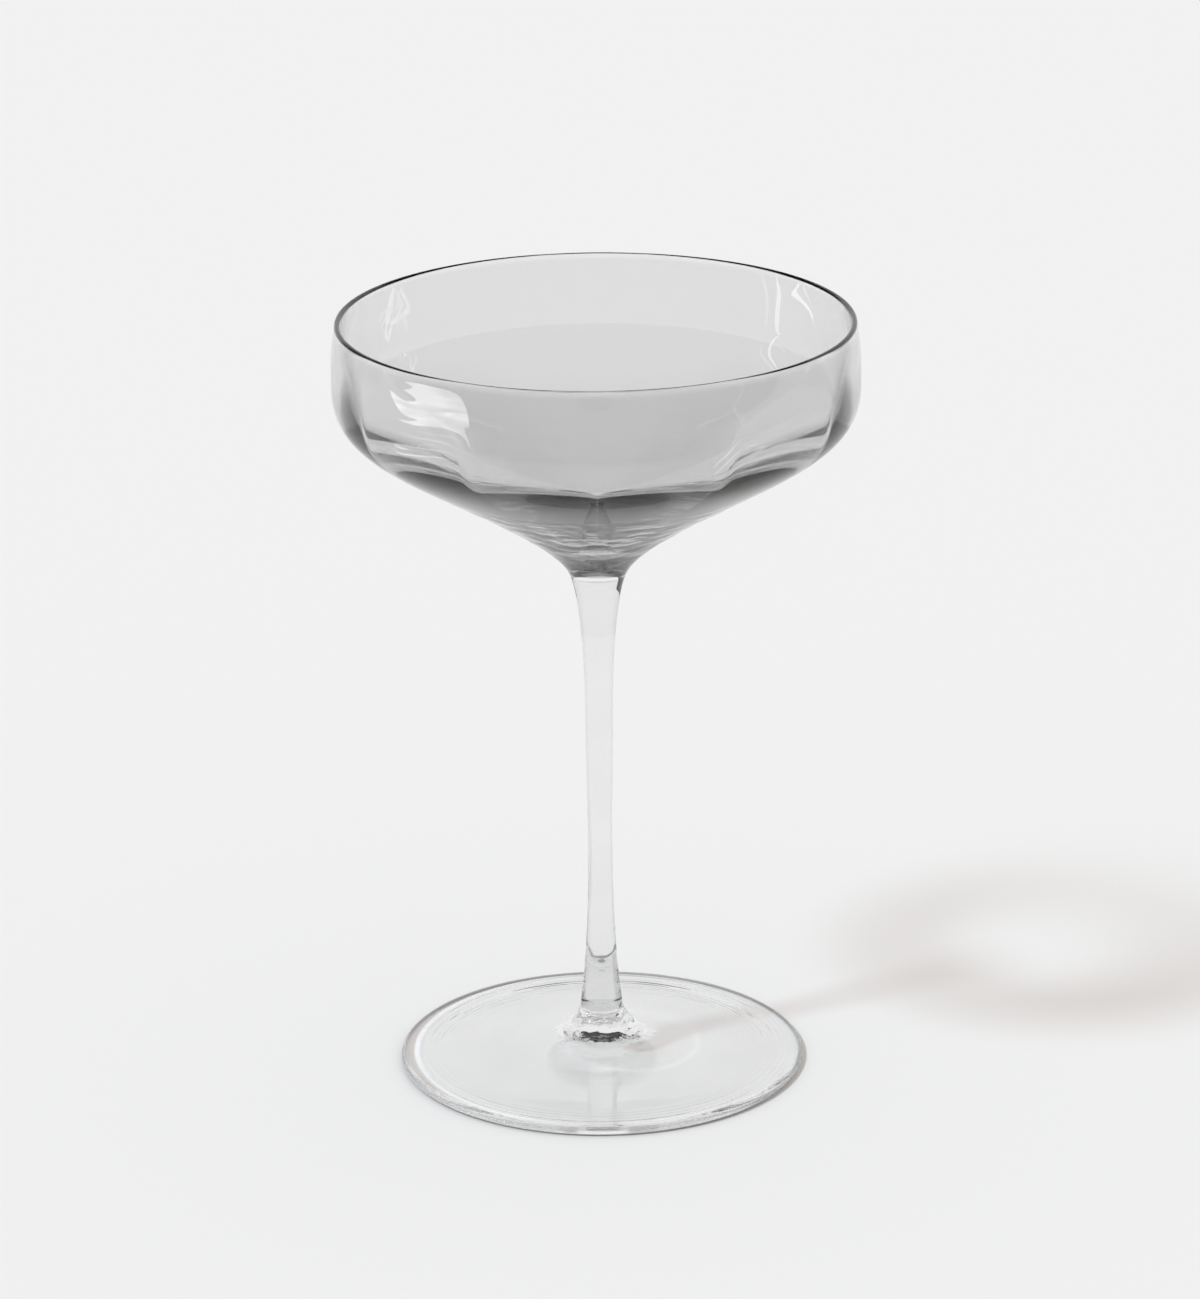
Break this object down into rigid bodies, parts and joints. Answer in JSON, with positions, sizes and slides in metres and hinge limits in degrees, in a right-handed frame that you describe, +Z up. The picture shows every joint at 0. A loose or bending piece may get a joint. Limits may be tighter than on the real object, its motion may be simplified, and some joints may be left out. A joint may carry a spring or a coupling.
{
  "type": "champagne coupe",
  "caption": "Stemmed coupe for sparkling wine: wide shallow smoke grey bowl with soft inner optic panels, slim clear stem flared at both ends, and a thin clear disc foot.",
  "frame": {"origin": "on the glass's axis, in the plane of the ring that the foot stands on", "axes": "+Z up the stem towards the rim; the glass is round, and a groove between two inner panels faces -Y, the front of the picture"},
  "size_m": [0.1066, 0.1066, 0.1599],
  "materials": {
    "smoke_glass": "fire polished, smoke grey",
    "clear_glass_stem": "fire polished, clear",
    "clear_glass_foot": "fire polished, clear"
  },
  "bodies": {
    "root": {"bowl": "smoke_glass", "stem": "clear_glass_stem", "foot": "clear_glass_foot"}
  },
  "joints": []
}
